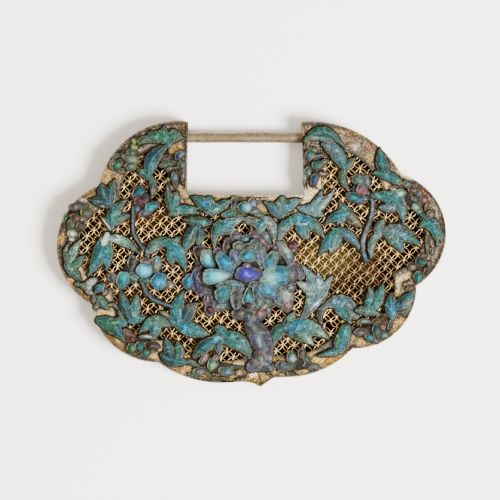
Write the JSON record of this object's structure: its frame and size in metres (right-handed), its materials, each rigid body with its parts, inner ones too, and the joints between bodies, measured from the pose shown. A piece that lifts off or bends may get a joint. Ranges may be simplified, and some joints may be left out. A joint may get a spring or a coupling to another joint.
{
  "type": "longevity lock pendant",
  "caption": "Lobed hollow lock-shaped pendant with a pierced coin lattice, a bar across its notch, and feather-inlaid leaves round a layered peony.",
  "frame": {"origin": "centre of the bounding box on the flat back", "axes": "+Z out of the decorated front, +Y from the pointed tip towards the bar, +X along the pendant's width"},
  "size_m": [0.1168, 0.0798, 0.0102],
  "materials": {
    "gilt_case": "dull old gilding on silver sheet, tarnished brown",
    "gilt_border": "worn fire gilding, gold in patches and brown-grey elsewhere",
    "lattice_wire": "pale gilt filigree wire, slightly worn",
    "bar_gilt": "dull worn gilding, greyer along its lower side",
    "leaf_teal": "teal feather inlay in low rims, with pale worn edges",
    "leaf_pale": "faded grey-blue feather inlay in low rims",
    "petal_grey_blue": "grey-violet to blue feather inlay, worn at the rims",
    "petal_cyan": "bright cyan-blue feather inlay, worn at the rims",
    "petal_violet": "deep violet-blue feather inlay",
    "petal_mixed": "feather inlay in teal, blue, mauve and brown",
    "stem_grey": "grey-violet feather inlay, much worn"
  },
  "bodies": {
    "root": {"case_tray": "gilt_case", "front_border": "gilt_border", "lattice": "lattice_wire", "cross_bar": "bar_gilt", "peony_outer_petals": "petal_grey_blue", "peony_middle_petals": "petal_cyan", "peony_heart": "petal_violet", "stem_upper_left": "stem_grey", "stem_lower_left": "stem_grey", "stem_right": "stem_grey", "peony_trunk": "stem_grey", "bud_upper_left": "petal_mixed", "blossom_left": "petal_mixed", "bud_upper_right": "petal_mixed", "floret_left_shoulder": "petal_mixed", "floret_left_of_notch": "petal_mixed", "floret_right_of_notch": "petal_mixed", "floret_top_centre": "petal_mixed", "floret_left_edge": "petal_mixed", "floret_lower_left": "petal_mixed", "floret_bottom_left": "petal_mixed", "floret_bottom_right": "petal_mixed", "floret_lower_right": "petal_mixed", "floret_right": "petal_mixed", "floret_upper_right": "petal_mixed", "leaf_left_shoulder_top": "leaf_teal", "leaf_left_shoulder_long": "leaf_teal", "leaf_left_cusp": "leaf_teal", "leaf_left_of_notch": "leaf_teal", "leaf_under_notch_left": "leaf_teal", "leaf_upper_left": "leaf_teal", "leaf_left_big": "leaf_teal", "leaf_left_border": "leaf_teal", "leaf_left_arch": "leaf_teal", "leaf_left_of_peony": "leaf_teal", "leaf_hood": "leaf_teal", "leaf_under_notch_right": "leaf_teal", "leaf_right_pale": "leaf_pale", "leaf_right_arch": "leaf_teal", "leaf_right_of_peony": "leaf_teal", "leaf_right_upright": "leaf_teal", "leaf_right_shoulder_arc": "leaf_teal", "leaf_right_shoulder_long": "leaf_teal", "leaf_right_cusp": "leaf_teal", "leaf_right_upper": "leaf_teal", "leaf_right_edge": "leaf_teal", "leaf_right_big_arch": "leaf_teal", "leaf_palmette": "leaf_pale", "leaf_below_palmette": "leaf_teal", "leaf_lower_right_arch": "leaf_teal", "leaf_right_fork": "leaf_teal", "leaf_lower_right_border": "leaf_teal", "leaf_bottom_right": "leaf_teal", "leaf_bottom_arch": "leaf_teal", "leaf_lower_left_big": "leaf_teal", "leaf_lower_left_small": "leaf_teal", "leaf_left_fork": "leaf_teal", "leaf_lower_left_border": "leaf_teal", "leaf_bottom_left": "leaf_teal", "leaf_left_sprig": "leaf_teal"}
  },
  "joints": []
}
